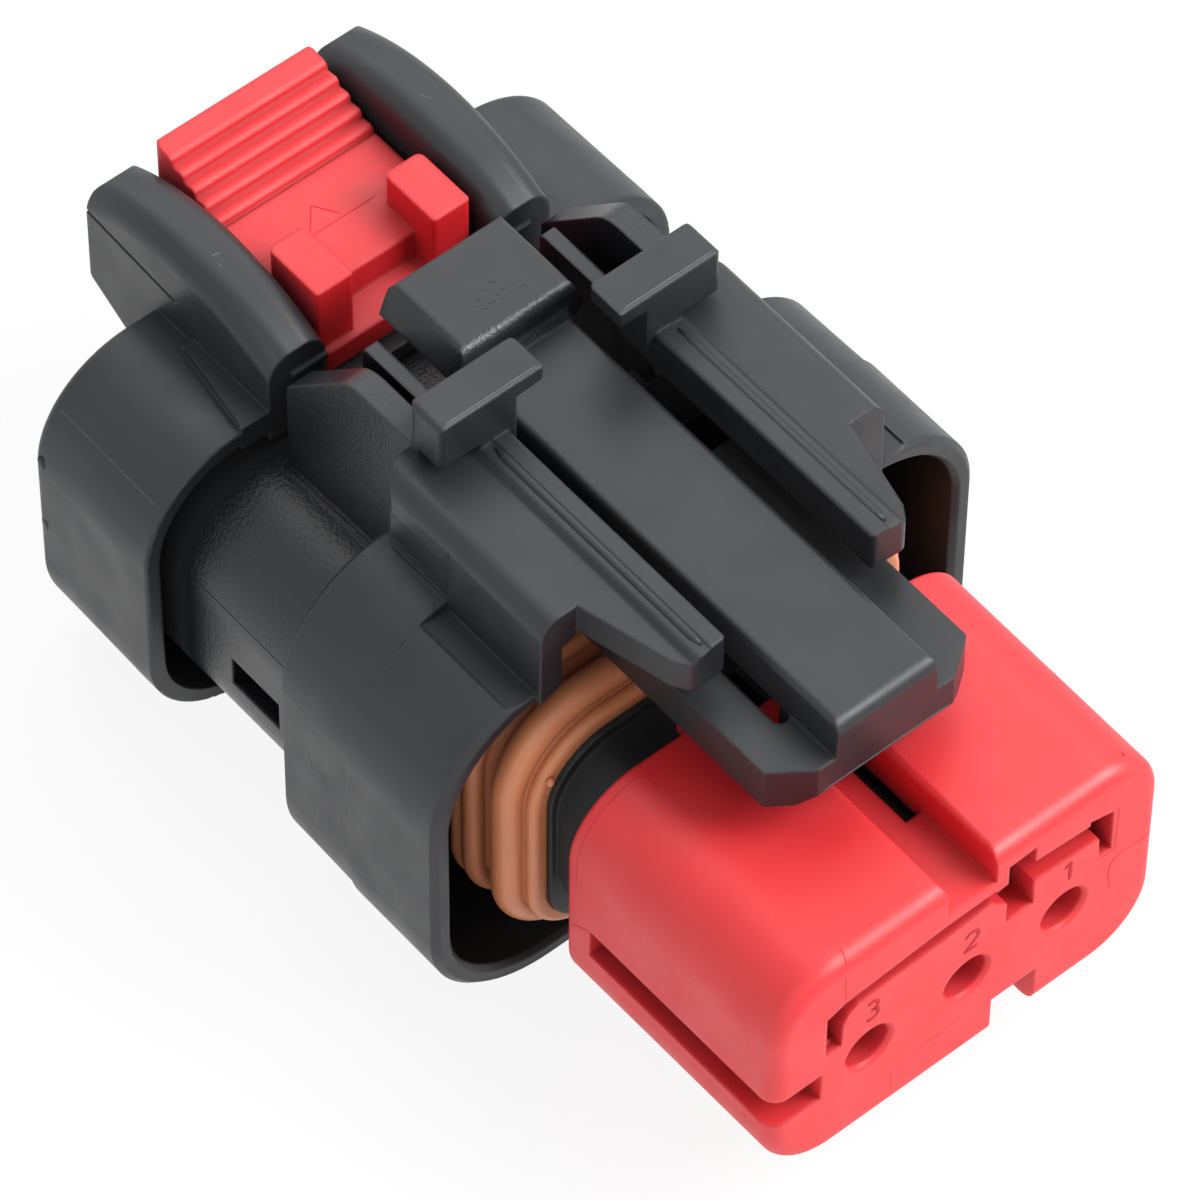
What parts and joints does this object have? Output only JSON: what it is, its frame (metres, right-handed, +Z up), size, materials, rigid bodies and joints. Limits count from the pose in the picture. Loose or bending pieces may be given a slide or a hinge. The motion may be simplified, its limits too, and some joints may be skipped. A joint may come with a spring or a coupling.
{
  "type": "sealed automotive connector plug",
  "caption": "Sealed single-row automotive plug with a shrouded black housing, latch lever, silicone seal, red nose lock and red lever lock.",
  "frame": {"origin": "centre of the plug's footprint, on the flat underside of the shroud and the rear cap", "axes": "+Z up, -Y towards the mating nose, +Y towards the wires, +X to the right when the nose is seen from in front"},
  "size_m": [0.0332, 0.0544, 0.0305],
  "materials": {
    "black_plastic": "satin moulded black",
    "red_plastic": "satin moulded red",
    "silicone": "satin silicone"
  },
  "bodies": {
    "plug": {"housing": "black_plastic", "rear_cap": "black_plastic", "interface_seal": "silicone", "wire_seal": "silicone"},
    "lever": {"latch_lever": "black_plastic"},
    "nose": {"terminal_lock": "red_plastic"},
    "lever_guard": {"lever_lock": "red_plastic"}
  },
  "joints": [
    {"name": "lever_rock", "type": "hinge", "parent": "plug", "child": "lever", "pos_m": [0, -0.0048, 0.0224], "axis": [-1, 0, 0], "range_deg": [0, 4], "stiffness_Nm_per_rad": 0.5},
    {"name": "nose_seat", "type": "slide", "parent": "plug", "child": "nose", "axis": [0, 1, 0], "range_m": [0, 0.0015]},
    {"name": "lever_lock_slide", "type": "slide", "parent": "plug", "child": "lever_guard", "axis": [0, -1, 0], "range_m": [0, 0.004]}
  ]
}
